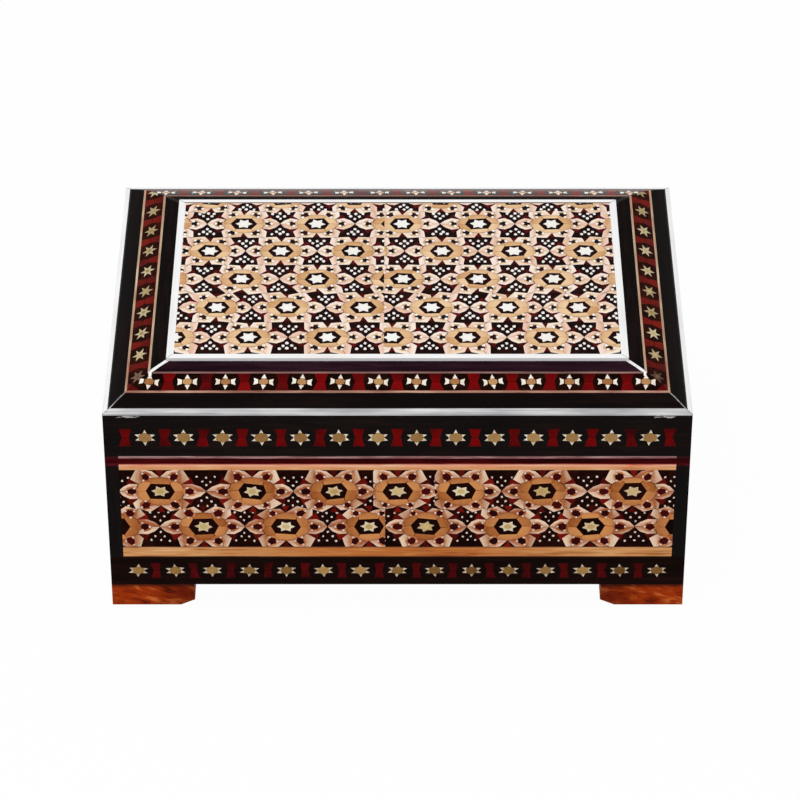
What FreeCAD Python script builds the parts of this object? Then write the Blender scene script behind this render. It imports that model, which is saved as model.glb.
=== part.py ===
# A marquetry jewellery box with a hinged lid, in millimetres.
# Frame: origin under the middle of the box, on the surface that it stands on; +X right, +Y back, +Z up.
# An inset is a distance inwards from the outer face of a side, the same on all four sides.
import FreeCAD, Part
import math
import os

# Overall size
box_width = 200.0
box_depth = 141.0

# Heights of the layers on the outside, from the feet up
foot_height = 9.1
plinth_height = 12.2
lower_string_height = 4.6
khatam_height = 33.3
upper_string_height = 2.8
rim_height = 1.8
seam_gap = 0.1
lid_string_height = 1.2
lid_band_height = 17.2

# Walls, boards and lining
veneer = 1.5
wall_core = 7.0
rebate_width = 3.5
bottom_board_thickness = 5.0
top_board_thickness = 5.0
corner_post_width = 4.7
lining = 1.0
lining_below_seam = 2.0

# Feet: square blocks under the corners, with the two inner lower edges cut off
foot_length = 29.0
foot_cut_run = 5.0
foot_cut_rise = 2.3

# White strip round the top edge of the lid
edge_strip_width = 2.2
edge_strip_face = 0.6
edge_strip_rise = 1.4

# Convex mouldings, and what is let into them
moulding_inset = 20.9
moulding_rise = 7.8
moulding_bow = 1.25
inlay_depth = 0.8
star_band_inset = 8.1
star_band_width = 6.8
moulding_string_width = 0.8
inner_hip_width = 1.3
outer_hip_width = 0.5

# Raised panel in the middle of the lid
panel_sheet = 1.2
panel_border_width = 2.5
panel_seam_x = -4.7

# Butt hinges
hinge_spacing = 110.0
hinge_length = 22.0
middle_knuckle_length = 8.6
knuckle_gap = 0.2
barrel_radius = 1.3
barrel_inset = 0.9
barrel_room = 0.25
pin_radius = 0.6
pin_clearance = 0.05
leaf_width = 6.5
leaf_thickness = 0.9
leaf_room = 0.05
bevel_angle = 51.0

# Hinge screws
screw_spacing = 13.0
screw_from_axis = 4.0
screw_head_radius = 1.4
screw_shank_radius = 0.7
screw_length = 6.0
screw_clearance = 0.05

# Levels worked out from the heights
plinth_top = foot_height + plinth_height
khatam_bottom = plinth_top + lower_string_height
khatam_top = khatam_bottom + khatam_height
wall_top = khatam_top + upper_string_height
rim_top = wall_top + rim_height
lid_bottom = rim_top + seam_gap
lid_band_bottom = lid_bottom + lid_string_height
lid_top = lid_band_bottom + lid_band_height
moulding_top = lid_top + moulding_rise
panel_top = moulding_top + panel_sheet
floor_top = foot_height + bottom_board_thickness
ceiling = lid_top - top_board_thickness

# Insets worked out from the wall layers
wall_inset = veneer + wall_core
rebate_inset = wall_inset - rebate_width
panel_inset = moulding_inset + panel_border_width

# Hinge axis
axis_y = box_depth / 2 - barrel_inset
axis_z = rim_top + seam_gap / 2
hinge_places = (-hinge_spacing / 2, hinge_spacing / 2)

up = FreeCAD.Vector(0, 0, 1)
along = FreeCAD.Vector(1, 0, 0)

# The plan: the four sides in turn, each run from one corner to the next, and which way each corner lies
sides = ("front", "right", "back", "left")
side_ends = {
    "front": ("front_left", "front_right"),
    "right": ("front_right", "back_right"),
    "back": ("back_right", "back_left"),
    "left": ("back_left", "front_left"),
}
corner_signs = {
    "front_left": (-1, -1),
    "front_right": (1, -1),
    "back_right": (1, 1),
    "back_left": (-1, 1),
}


def half_run(side):
    return box_width / 2 if side in ("front", "back") else box_depth / 2


def reach(side):
    return box_depth / 2 if side in ("front", "back") else box_width / 2


def turned(shape, side):
    # A shape made on the front side, turned about the middle of the box to its own side
    copy = shape.copy()
    copy.rotate(FreeCAD.Vector(0, 0, 0), up, 90 * sides.index(side))
    return copy


def block(x, y, z):
    # A box from three (low, high) pairs
    return Part.makeBox(x[1] - x[0], y[1] - y[0], z[1] - z[0], FreeCAD.Vector(x[0], y[0], z[0]))


def inside_block(inset, z):
    # A block that fills the plan of the box, set in from every side
    half_x = box_width / 2 - inset
    half_y = box_depth / 2 - inset
    return block((-half_x, half_x), (-half_y, half_y), z)


def flat_face(points):
    return Part.Face(Part.makePolygon(points + points[:1]))


def on_mitre(corner, point):
    # A point of a section, given as (inset, height), where the section meets the mitre of a corner
    x_sign, y_sign = corner_signs[corner]
    inset, height = point
    return FreeCAD.Vector(x_sign * (box_width / 2 - inset), y_sign * (box_depth / 2 - inset), height)


def mitred_bar(side, section):
    # A straight-sided section between the mitres at the two ends of its side
    start, end = [[on_mitre(corner, point) for point in section] for corner in side_ends[side]]
    faces = [flat_face(start), flat_face(end)]
    for i in range(len(section)):
        faces.append(flat_face([start[i - 1], start[i], end[i], end[i - 1]]))
    bar = Part.Solid(Part.Shell(faces))
    bar.fix(0, 0, 0)
    return bar if bar.Volume > 0 else bar.reversed()


def frame_of(section):
    # Four mitred bars of one section
    return {side: mitred_bar(side, section) for side in sides}


def oblong(inset, z):
    # The points of a rectangular section
    return [(inset[0], z[0]), (inset[1], z[0]), (inset[1], z[1]), (inset[0], z[1])]


def at(side, point):
    # A point of a section, given as (inset, height), at the start of the front side's run
    return FreeCAD.Vector(-half_run(side), point[0] - reach(side), point[1])


def mitred(side, face):
    # A curved section run along its side, then mitred at both ends
    run = half_run(side)
    out = reach(side)
    depth = min(run, out) / 2
    plan = [(-run, -out), (run, -out), (run - depth, depth - out), (depth - run, depth - out)]
    wedge = flat_face([FreeCAD.Vector(x, y, 0) for x, y in plan]).extrude(up * panel_top)
    return turned(face.extrude(along * (2 * run)).common(wedge), side)


def facing(side, z):
    # A veneer strip between the two corner posts of a side
    half = half_run(side) - corner_post_width
    out = reach(side)
    return turned(block((-half, half), (-out, veneer - out), z), side)


def write(node, *shapes):
    solids = [solid for shape in shapes for solid in shape.Solids]
    whole = solids[0] if len(solids) == 1 else Part.makeCompound(solids)
    whole.exportStep("parts/" + node + ".step")
    volume = sum(solid.Volume for solid in solids)
    print(f"{node}: {len(solids)} solids, {volume:.1f} mm3, valid {whole.isValid()}")


# Hinges, made first because their seats are cut out of the wood


def round_bar(radius, x, room=0.0):
    # A cylinder on the hinge axis
    start = FreeCAD.Vector(x[0] - room, axis_y, axis_z)
    return Part.makeCylinder(radius, x[1] - x[0] + 2 * room, start, along)


def hinge_span(place):
    return (place - hinge_length / 2, place + hinge_length / 2)


def middle_span(place, room=0.0):
    half = middle_knuckle_length / 2 + room
    return (place - half, place + half)


def outer_spans(place):
    start, end = hinge_span(place)
    inner_start, inner_end = middle_span(place, knuckle_gap)
    return ((start, inner_start), (inner_end, end))


def leaf_plate(place, part, room=0.0):
    # The flat of a leaf: the base's lies under the seam, the lid's above it
    low, high = (rim_top - leaf_thickness, rim_top) if part == "base" else (lid_bottom, lid_bottom + leaf_thickness)
    low -= room if part == "base" else 0
    high += room if part == "lid" else 0
    start, end = hinge_span(place)
    return block((start - room, end + room), (axis_y - leaf_width - room, axis_y), (low, high))


def screw_points(place):
    y = axis_y - screw_from_axis
    return [FreeCAD.Vector(place + offset, y, 0) for offset in (-screw_spacing / 2, screw_spacing / 2)]


def screw(point, part, room=0.0):
    # A countersunk screw, flush with the face of its leaf and driven away from the seam
    sign, face_z = (-1, rim_top) if part == "base" else (1, lid_bottom)
    head_height = screw_head_radius - screw_shank_radius
    outline = [
        (0, 0),
        (screw_head_radius + room, 0),
        (screw_shank_radius + room, head_height),
        (screw_shank_radius + room, screw_length + room),
        (0, screw_length + room),
    ]
    profile = flat_face([FreeCAD.Vector(radius, 0, sign * depth) for radius, depth in outline])
    body = profile.revolve(FreeCAD.Vector(0, 0, 0), up, 360)
    body.translate(point + up * face_z)
    return body


def leaf(place, part):
    # One leaf: its flat, its own knuckles, the hole for the pin and room for the other leaf's knuckles
    own = outer_spans(place) if part == "base" else (middle_span(place),)
    other = (middle_span(place),) if part == "base" else outer_spans(place)
    body = leaf_plate(place, part)
    for span in other:
        body = body.cut(round_bar(barrel_radius + barrel_room, span, knuckle_gap))
    for span in own:
        body = body.fuse(round_bar(barrel_radius, span))
    body = body.cut(round_bar(pin_radius + pin_clearance, hinge_span(place), hinge_length))
    for point in screw_points(place):
        body = body.cut(screw(point, part, screw_clearance))
    return body.removeSplitter()


def hinge_seats(part):
    # What the wood loses to the hinges of one part: the barrels' room, the leaves' seats and the screw holes
    seats = []
    for place in hinge_places:
        seats.append(round_bar(barrel_radius + barrel_room, hinge_span(place), barrel_room))
        seats.append(leaf_plate(place, part, leaf_room))
        seats += [screw(point, part, screw_clearance) for point in screw_points(place)]
    return seats


base_seats = hinge_seats("base")
lid_seats = hinge_seats("lid")

# The back edges on both sides of the seam are bevelled from the hinge axis out, and meet as the lid's stop
bevel_height = barrel_inset * math.tan(math.radians(bevel_angle))


def back_bevel(level, height):
    # The whole back edge, mitred ends included
    points = [(0, level), (barrel_inset, level), (0, level + height)]
    return turned(flat_face([at("back", point) for point in points]).extrude(along * box_width), "back")


def relieved(pieces, level, height, seats):
    # Four bars beside the seam, less the bevel and the hinges' seats
    return {side: piece.cut([back_bevel(level, height)] + seats) for side, piece in pieces.items()}


# Base: walls with a rebate for the bottom board
base_wall_section = [
    (veneer, foot_height),
    (rebate_inset, foot_height),
    (rebate_inset, floor_top),
    (wall_inset, floor_top),
    (wall_inset, wall_top),
    (veneer, wall_top),
]
base_walls = frame_of(base_wall_section)
base_walls["back"] = base_walls["back"].cut(base_seats)
bottom_board = inside_block(rebate_inset, (foot_height, floor_top))

# Base: facing, from the plinth up to the rim
plinth_bands = frame_of(oblong((0, veneer), (foot_height, plinth_top)))
lower_strings = [facing(side, (plinth_top, khatam_bottom)) for side in sides]
khatam_panels = {side: facing(side, (khatam_bottom, khatam_top)) for side in sides}
upper_strings = [facing(side, (khatam_top, wall_top)) for side in sides]


def to_corner(shape, x_sign, y_sign):
    # A shape made at the origin, growing to +X and +Y, mirrored into a corner of the plan
    copy = shape.copy()
    if x_sign > 0:
        copy = copy.mirror(FreeCAD.Vector(0, 0, 0), along)
    if y_sign > 0:
        copy = copy.mirror(FreeCAD.Vector(0, 0, 0), FreeCAD.Vector(0, 1, 0))
    copy.translate(FreeCAD.Vector(x_sign * box_width / 2, y_sign * box_depth / 2, 0))
    return copy


def corner_post(x_sign, y_sign):
    # An angle of veneer round an upright corner of the walls
    outer = block((0, corner_post_width), (0, corner_post_width), (plinth_top, wall_top))
    inner = block((veneer, corner_post_width), (veneer, corner_post_width), (plinth_top, wall_top))
    return to_corner(outer.cut(inner), x_sign, y_sign)


def foot():
    # The same cut section in both directions leaves a block with its two inner lower edges taken off
    foot_section = [
        (0, 0),
        (foot_length - foot_cut_run, 0),
        (foot_length, foot_cut_rise),
        (foot_length, foot_height),
        (0, foot_height),
    ]
    in_x = flat_face([FreeCAD.Vector(run, 0, z) for run, z in foot_section])
    in_y = flat_face([FreeCAD.Vector(0, run, z) for run, z in foot_section])
    return in_x.extrude(FreeCAD.Vector(0, foot_length, 0)).common(in_y.extrude(along * foot_length))


# Base: rim on the walls, bevelled at the back and let out for the hinges
rim = frame_of(oblong((0, wall_inset), (wall_top, rim_top)))
rim = relieved(rim, rim_top, -bevel_height, base_seats)

# Base: lining
floor_lining = inside_block(wall_inset, (floor_top, floor_top + lining))
base_lining_z = (floor_top + lining, rim_top - lining_below_seam)
wall_linings = frame_of(oblong((wall_inset, wall_inset + lining), base_lining_z))

# Lid: walls with a rebate for the top board
lid_wall_section = [
    (veneer, lid_bottom),
    (wall_inset, lid_bottom),
    (wall_inset, ceiling),
    (rebate_inset, ceiling),
    (rebate_inset, lid_top),
    (veneer, lid_top),
]
lid_walls = frame_of(lid_wall_section)
lid_walls["back"] = lid_walls["back"].cut(lid_seats)
top_board = inside_block(rebate_inset, (ceiling, lid_top))

# Lid: facing, with the bevel and the hinges' room at the back
lid_strings = frame_of(oblong((0, veneer), (lid_bottom, lid_band_bottom)))
lid_strings = relieved(lid_strings, lid_bottom, bevel_height, lid_seats)
lid_bands = frame_of(oblong((0, veneer), (lid_band_bottom, lid_top)))
lid_bands = relieved(lid_bands, lid_bottom, bevel_height, lid_seats)

# Lid: white edge strip with a sloping top
edge_strip_section = [
    (0, lid_top),
    (edge_strip_width, lid_top),
    (edge_strip_width, lid_top + edge_strip_rise),
    (0, lid_top + edge_strip_face),
]
edge_strips = frame_of(edge_strip_section)

# Lid: the mouldings' convex face is one arc from the edge strip up to the raised panel
arc_run = moulding_inset - edge_strip_width
arc_rise = moulding_rise - edge_strip_rise
arc_chord = math.hypot(arc_run, arc_rise)
arc_radius = (arc_chord ** 2 / 4 + moulding_bow ** 2) / (2 * moulding_bow)
arc_drop = arc_radius - moulding_bow
arc_inset = edge_strip_width + arc_run / 2 + arc_drop * arc_rise / arc_chord
arc_level = lid_top + edge_strip_rise + arc_rise / 2 - arc_drop * arc_run / arc_chord


def on_arc(inset, depth=0.0):
    # The point of the arc at an inset, sunk along the arc's radius
    angle = math.asin((inset - arc_inset) / arc_radius)
    radius = arc_radius - depth
    return (arc_inset + radius * math.sin(angle), arc_level + radius * math.cos(angle))


def arc_edge(side, start, end, depth=0.0):
    middle = (start + end) / 2
    return Part.Arc(*[at(side, on_arc(inset, depth)) for inset in (start, middle, end)]).toShape()


def moulding_section(side):
    start, end = on_arc(edge_strip_width), on_arc(moulding_inset)
    foot_start, foot_end = (edge_strip_width, lid_top), (moulding_inset, lid_top)
    edges = [
        arc_edge(side, edge_strip_width, moulding_inset),
        Part.makeLine(at(side, end), at(side, foot_end)),
        Part.makeLine(at(side, foot_end), at(side, foot_start)),
        Part.makeLine(at(side, foot_start), at(side, start)),
    ]
    return Part.Face(Part.Wire(edges))


def inlay_section(side, start, end):
    # A strip let into the arc, with its edges square to the curve
    edges = [
        arc_edge(side, start, end),
        Part.makeLine(at(side, on_arc(end)), at(side, on_arc(end, inlay_depth))),
        arc_edge(side, end, start, inlay_depth),
        Part.makeLine(at(side, on_arc(start, inlay_depth)), at(side, on_arc(start))),
    ]
    return Part.Face(Part.Wire(edges))


band_start = star_band_inset
band_end = star_band_inset + star_band_width
channel_start = band_start - moulding_string_width
channel_end = band_end + moulding_string_width
whole_mouldings = {side: mitred(side, moulding_section(side)) for side in sides}
star_bands = {side: mitred(side, inlay_section(side, band_start, band_end)) for side in sides}
moulding_strings = [
    mitred(side, inlay_section(side, start, end))
    for side in sides
    for start, end in ((channel_start, band_start), (band_end, channel_end))
]


def hip(corner, start, end, width):
    # A string let in along a mitre, half of it in each of the two mouldings that meet there
    x_sign, y_sign = corner_signs[corner]
    slab = block((0, box_width), (-width / 2, width / 2), (lid_top, panel_top))
    slab.rotate(FreeCAD.Vector(0, 0, 0), up, math.degrees(math.atan2(-y_sign, -x_sign)))
    slab.translate(FreeCAD.Vector(x_sign * box_width / 2, y_sign * box_depth / 2, 0))
    halves = []
    for side in sides:
        if corner in side_ends[side]:
            skin = mitred(side, inlay_section(side, start, end))
            halves.append(skin.common(whole_mouldings[side]).common(slab))
    return halves[0].fuse(halves[1]).removeSplitter()


hip_strings = []
for corner in corner_signs:
    hip_strings.append(hip(corner, channel_end, moulding_inset + inlay_depth, inner_hip_width))
    hip_strings.append(hip(corner, edge_strip_width, channel_start, outer_hip_width))

mouldings = {}
for side in sides:
    channel = mitred(side, inlay_section(side, channel_start, channel_end))
    mouldings[side] = whole_mouldings[side].cut([channel] + hip_strings)

# Lid: raised panel of two khatam sheets in a white border, on a core board
centre_board = inside_block(moulding_inset, (lid_top, moulding_top))
panel_border = frame_of(oblong((moulding_inset, panel_inset), (moulding_top, panel_top)))
panel_half_x = box_width / 2 - panel_inset
panel_half_y = box_depth / 2 - panel_inset
sheet_spans = {"left": (-panel_half_x, panel_seam_x), "right": (panel_seam_x, panel_half_x)}

# Lid: lining
lid_ceiling_lining = inside_block(wall_inset, (ceiling - lining, ceiling))
lid_lining_z = (lid_bottom + lining_below_seam, ceiling - lining)
lid_wall_linings = frame_of(oblong((wall_inset, wall_inset + lining), lid_lining_z))

# Write every piece
os.makedirs("parts", exist_ok=True)

for side in sides:
    write(f"base_{side}_wall", base_walls[side])
    write(f"base_khatam_{side}", khatam_panels[side])
    write(f"plinth_band_{side}", plinth_bands[side])
    write(f"lid_{side}_wall", lid_walls[side])
    write(f"lid_band_{side}", lid_bands[side])
    write(f"lid_moulding_{side}", mouldings[side])
    write(f"moulding_star_band_{side}", star_bands[side])

for corner, (x_sign, y_sign) in corner_signs.items():
    write(f"corner_post_{corner}", corner_post(x_sign, y_sign))
    write(f"foot_{corner}", to_corner(foot(), x_sign, y_sign))

write("base_bottom_board", bottom_board)
write("base_lower_stringing", *lower_strings)
write("base_upper_stringing", *upper_strings)
write("base_rim", *rim.values())
write("base_floor_lining", floor_lining)
write("base_wall_lining", *wall_linings.values())

write("lid_top_board", top_board)
write("lid_lower_stringing", *lid_strings.values())
write("lid_edge_strip", *edge_strips.values())
write("moulding_stringing", *moulding_strings)
write("hip_stringing", *hip_strings)
write("lid_centre_board", centre_board)
write("lid_panel_border", *panel_border.values())
for name, span in sheet_spans.items():
    write(f"lid_khatam_{name}", block(span, (-panel_half_y, panel_half_y), (moulding_top, panel_top)))
write("lid_ceiling_lining", lid_ceiling_lining)
write("lid_wall_lining", *lid_wall_linings.values())

for name, place in zip(("left", "right"), hinge_places):
    write(f"hinge_leaf_base_{name}", leaf(place, "base"))
    write(f"hinge_leaf_lid_{name}", leaf(place, "lid"))
write("hinge_pins", *[round_bar(pin_radius, hinge_span(place)) for place in hinge_places])
write("hinge_screws_base", *[screw(point, "base") for place in hinge_places for point in screw_points(place)])
write("hinge_screws_lid", *[screw(point, "lid") for place in hinge_places for point in screw_points(place)])
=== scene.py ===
import math
import random

import bmesh
import bpy
from mathutils import Matrix, Vector


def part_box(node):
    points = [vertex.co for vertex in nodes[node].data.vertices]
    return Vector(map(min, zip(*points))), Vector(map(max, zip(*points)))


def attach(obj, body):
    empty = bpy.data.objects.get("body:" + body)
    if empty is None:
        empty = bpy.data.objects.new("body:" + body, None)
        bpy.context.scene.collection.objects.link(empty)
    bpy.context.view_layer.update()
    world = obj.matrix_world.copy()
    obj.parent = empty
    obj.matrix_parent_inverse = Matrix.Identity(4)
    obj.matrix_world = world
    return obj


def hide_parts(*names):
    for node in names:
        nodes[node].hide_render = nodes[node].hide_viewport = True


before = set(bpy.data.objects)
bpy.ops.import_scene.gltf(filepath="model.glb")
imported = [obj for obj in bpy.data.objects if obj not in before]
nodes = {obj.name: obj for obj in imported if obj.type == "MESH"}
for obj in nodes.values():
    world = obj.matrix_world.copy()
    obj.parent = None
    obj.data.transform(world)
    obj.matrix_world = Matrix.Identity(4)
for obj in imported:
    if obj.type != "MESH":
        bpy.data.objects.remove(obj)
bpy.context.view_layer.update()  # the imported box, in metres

scene = bpy.context.scene
dice = random.Random(11)  # hand work varies a little, and in the same way each run
mm = 0.001


def wander(most):  # a little either way
    return dice.uniform(-most, most)


# Faces of the box, read from the frame
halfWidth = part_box("base_khatam_right")[1].x
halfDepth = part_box("base_khatam_back")[1].y
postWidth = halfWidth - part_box("base_khatam_front")[1].x
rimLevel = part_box("base_rim")[0].z
sideTurns = {"front": 0, "right": 90, "back": 180, "left": 270}


def reachOf(side):  # from the middle of the box to this side's face
    return halfDepth if side in ("front", "back") else halfWidth


def runOf(side):  # half the length of this side
    return halfWidth if side in ("front", "back") else halfDepth


def middleOf(node):  # the height of a piece's middle
    low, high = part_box(node)
    return (low.z + high.z) / 2


def onSide(side):  # millimetres along the side, up, and out of its face, taken to the box
    stand = Matrix.Rotation(math.radians(90), 4, "X")
    out = Matrix.Translation((0, -reachOf(side), 0))
    return Matrix.Rotation(math.radians(sideTurns[side]), 4, "Z") @ out @ stand @ Matrix.Scale(mm, 4)


# Finishes


def paint(red, green, blue):  # a colour as a screen shows it (sRGB), from 0 to 255
    screen = [value / 255 for value in (red, green, blue)]
    return (*[c / 12.92 if c <= 0.04045 else ((c + 0.055) / 1.055) ** 2.4 for c in screen], 1)


def addNode(tree, kind, inputs, **options):
    made = tree.nodes.new(kind)
    for option, value in options.items():
        setattr(made, option, value)
    for socket, value in inputs.items():
        if isinstance(value, bpy.types.NodeSocket):
            tree.links.new(value, made.inputs[socket])
        else:
            made.inputs[socket].default_value = value
    return made


def calculate(tree, operation, *values):
    return addNode(tree, "ShaderNodeMath", dict(enumerate(values)), operation=operation).outputs[0]


def objectPlace(tree):
    return addNode(tree, "ShaderNodeTexCoord", {}).outputs["Object"]


markLook = {  # where a finish changes its colour, in millimetres
    "outer": 8.5, "frontInner": 14.5, "endInner": 1.65,  # behind the face of the box
    "rearInner": 47.8,  # behind the middle of the box
    "mitre": 0.14,  # either side of the mitre
    "postTop": 1.1, "upperStringTop": 0.45,  # below the red rim
    "lidStringFoot": 0.38, "lowerStringEdges": 1.92,  # from the middle of the string
    "nearCorner": (75, 30, 1.0), "footInnerShade": (14, 25, 0.8),  # from the corner: a fade's start, end and most; the foot's fade is painted shade, darker towards its inner end
    "footTopShadow": (7.3, 8.9, 0.85),  # the same above the floor, for painted shadow under the plinth on the foot's top
}


def alongSides(tree):  # (along the nearest side, depth behind its face, height), and marks made from them
    axes = addNode(tree, "ShaderNodeSeparateXYZ", {0: objectPlace(tree)}).outputs
    endDepth = calculate(tree, "SUBTRACT", halfWidth, calculate(tree, "ABSOLUTE", axes[0]))
    faceDepth = calculate(tree, "SUBTRACT", halfDepth, calculate(tree, "ABSOLUTE", axes[1]))
    onEnd = calculate(tree, "LESS_THAN", endDepth, faceDepth)
    run = addNode(tree, "ShaderNodeMix", {0: onEnd, 2: axes[0], 3: axes[1]}).outputs[0]
    depth = calculate(tree, "MINIMUM", endDepth, faceDepth)
    place = addNode(tree, "ShaderNodeCombineXYZ", {0: run, 1: depth, 2: axes[2]}).outputs[0]

    def below(value, limit):
        return calculate(tree, "LESS_THAN", value, limit)

    def above(value, limit):
        return calculate(tree, "GREATER_THAN", value, limit)

    def also(one, other):
        return calculate(tree, "MULTIPLY", one, other)

    def apart(value, middle):
        return calculate(tree, "ABSOLUTE", calculate(tree, "SUBTRACT", value, middle))

    def fading(value, start, end, most):  # from 0 at the start to the most at the end
        limits = {"Value": value, "From Min": start * mm, "From Max": end * mm, "To Min": 0.0, "To Max": most}
        return addNode(tree, "ShaderNodeMapRange", limits).outputs[0]

    def fromCorner():
        return calculate(tree, "MAXIMUM", endDepth, faceDepth)

    def offEnds():
        return calculate(tree, "SUBTRACT", 1.0, onEnd)

    def onFront():
        return also(offEnds(), below(axes[1], 0.0))

    def onBack():
        return also(offEnds(), above(axes[1], 0.0))

    levels = [middleOf(name + "_stringing") for name in ("base_upper", "base_lower", "lid_lower")]
    upperString, lowerString, lidString = levels
    marks = {  # 1 where another colour belongs, and 0 elsewhere
        "end": lambda: onEnd,
        "front": onFront,
        "rear": lambda: above(axes[1], 0.0),
        "outer": lambda: below(depth, markLook["outer"] * mm),
        "frontInner": lambda: also(onFront(), above(depth, markLook["frontInner"] * mm)),
        "endInner": lambda: also(onEnd, above(depth, markLook["endInner"] * mm)),
        "mitre": lambda: below(apart(endDepth, faceDepth), markLook["mitre"] * mm),
        "corner": lambda: below(fromCorner(), postWidth),
        "nearCorner": lambda: fading(fromCorner(), *markLook["nearCorner"]),
        "rearInner": lambda: also(onBack(), above(depth, halfDepth - markLook["rearInner"] * mm)),
        "postTop": lambda: above(axes[2], rimLevel - markLook["postTop"] * mm),
        "upperStringFoot": lambda: below(axes[2], upperString),
        "upperStringTop": lambda: above(axes[2], rimLevel - markLook["upperStringTop"] * mm),
        "lidStringFoot": lambda: below(axes[2], lidString - markLook["lidStringFoot"] * mm),
        "lowerStringEdges": lambda: above(apart(axes[2], lowerString), markLook["lowerStringEdges"] * mm),
        "footTopShadow": lambda: fading(axes[2], *markLook["footTopShadow"]),
        "footInnerShade": lambda: fading(fromCorner(), *markLook["footInnerShade"]),
    }
    return place, marks


def noise(tree, vector, stretch, detail=4.0, roughness=0.55, distortion=0.0, tilt=0.0):  # repeats per metre
    rotation = (0, math.radians(tilt), 0)
    turned = addNode(tree, "ShaderNodeMapping", {"Vector": vector, "Rotation": rotation}).outputs[0]
    stretched = addNode(tree, "ShaderNodeMapping", {"Vector": turned, "Scale": stretch}).outputs[0]
    inputs = {
        "Vector": stretched, "Scale": 1.0,
        "Detail": detail, "Roughness": roughness, "Distortion": distortion,
    }
    return addNode(tree, "ShaderNodeTexNoise", inputs).outputs[0]


noiseMiddle = (0.3, 0.7)  # a noise seldom leaves this range
rampMiddle = (0.36, 0.64)  # the first and the last stop of a wood's colours
grainShare = 0.6  # of a strip's colour, and the rest is patches


def weighed(tree, one, share, other):  # two noises in one
    first = calculate(tree, "MULTIPLY", one, share)
    second = calculate(tree, "MULTIPLY", other, 1 - share)
    return calculate(tree, "ADD", first, second)


def ramp(tree, factor, stops):
    made = addNode(tree, "ShaderNodeValToRGB", {0: factor})
    while len(made.color_ramp.elements) < len(stops):
        made.color_ramp.elements.new(0.5)
    for element, (place, colour) in zip(made.color_ramp.elements, stops):
        element.position = place
        element.color = paint(*colour)
    return made.outputs[0]


def between(tree, factor, low, high):  # a noise's middle range, spread from low to high
    inputs = {"Value": factor, "To Min": low, "To Max": high}
    inputs["From Min"], inputs["From Max"] = noiseMiddle
    return addNode(tree, "ShaderNodeMapRange", inputs).outputs[0]


def newMaterial(name, settings):
    material = bpy.data.materials.new(name)
    material.use_nodes = True
    shader = material.node_tree.nodes["Principled BSDF"]
    for socket, value in settings.items():
        shader.inputs[socket].default_value = value
    return material, material.node_tree, shader


def relief(tree, shader, height, distance):  # distance in millimetres
    bump = addNode(tree, "ShaderNodeBump", {"Height": height, "Strength": 1.0, "Distance": distance * mm})
    tree.links.new(bump.outputs[0], shader.inputs["Normal"])


def evenStops(colours):  # spread over the middle of a noise
    first, last = rampMiddle
    step = (last - first) / (len(colours) - 1)
    return [(first + step * i, colour) for i, colour in enumerate(colours)]


def stripWood(name, look):  # lacquered wood whose grain runs along its side of the box
    material, tree, shader = newMaterial(name, {"Specular IOR Level": look["shine"]})
    place, marks = alongSides(tree)
    fibre = {"detail": 5.0, "roughness": 0.6, "distortion": look["twist"], "tilt": look.get("tilt", 0.0)}
    grain = noise(tree, place, look["grain"], **fibre)
    patches = noise(tree, place, look["patches"], detail=2.0)
    both = weighed(tree, grain, grainShare, patches)
    colour = ramp(tree, both, evenStops(look["colours"]))
    for mark, colours in look.get("elsewhere", {}).items():  # another colour on part of the box
        mixed = {0: marks[mark](), 6: colour, 7: ramp(tree, both, evenStops(colours))}
        colour = addNode(tree, "ShaderNodeMix", mixed, data_type="RGBA").outputs[2]
    tree.links.new(colour, shader.inputs["Base Color"])
    tree.links.new(between(tree, grain, *look["roughness"]), shader.inputs["Roughness"])
    relief(tree, shader, grain, look["relief"])
    return material


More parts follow.
